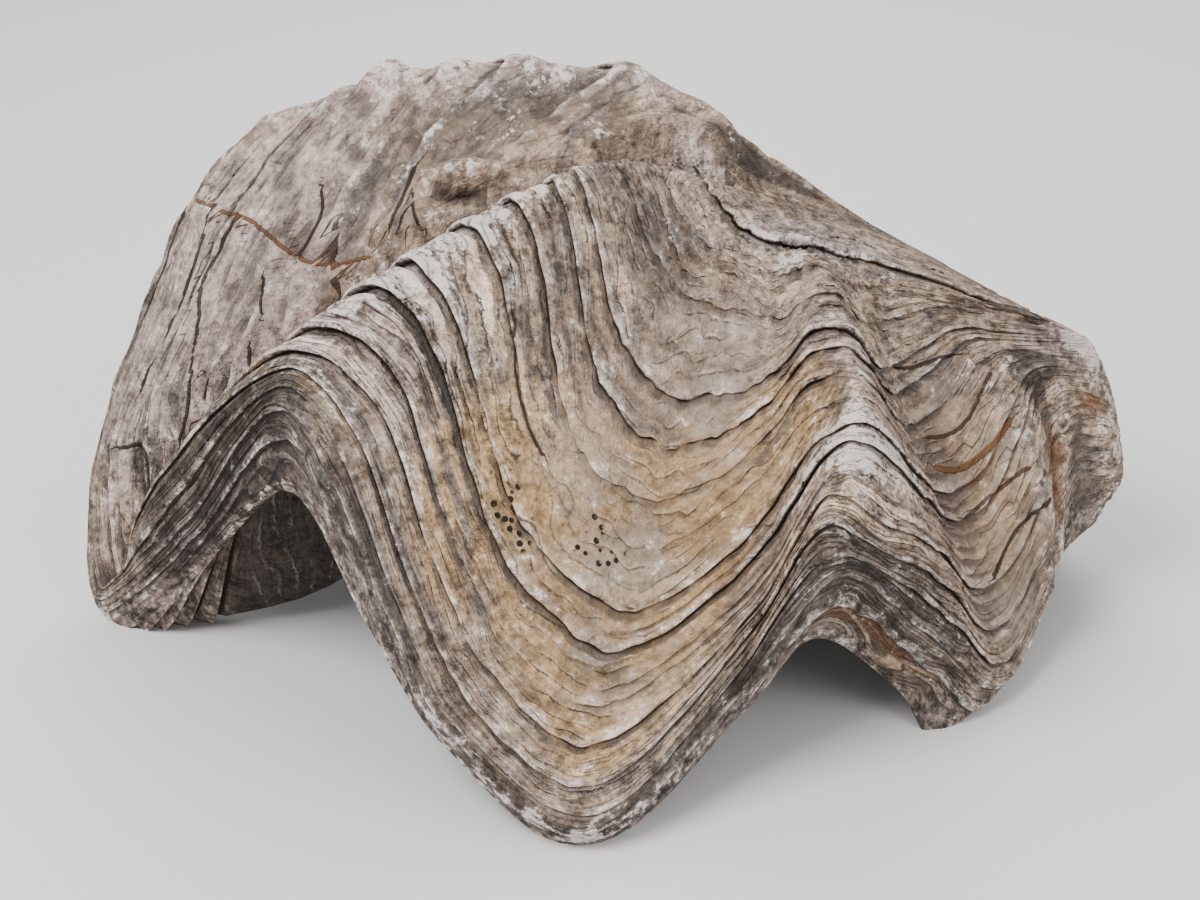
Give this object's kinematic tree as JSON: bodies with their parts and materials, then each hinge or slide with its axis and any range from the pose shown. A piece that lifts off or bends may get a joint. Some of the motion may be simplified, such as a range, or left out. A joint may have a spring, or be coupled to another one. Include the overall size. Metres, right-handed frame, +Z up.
{
  "type": "fossil oyster shell",
  "caption": "Large thick fossil oyster valve with strong rounded ribs and stepped growth layers, lying hollow side down on the scalloped edge of its lip.",
  "frame": {"origin": "on the ground under the middle of the shell's bounding box", "axes": "+X along the longest side, towards the short end of the shell; +Y towards the beak and hinge side; +Z up, out of the domed outer face"},
  "size_m": [0.3234, 0.2352, 0.1627],
  "materials": {
    "fossil_shell": "dull, dry fossil shell: lilac-grey and sandy growth layers with rusty cracks"
  },
  "bodies": {
    "root": {"oyster_shell": "fossil_shell"}
  },
  "joints": []
}
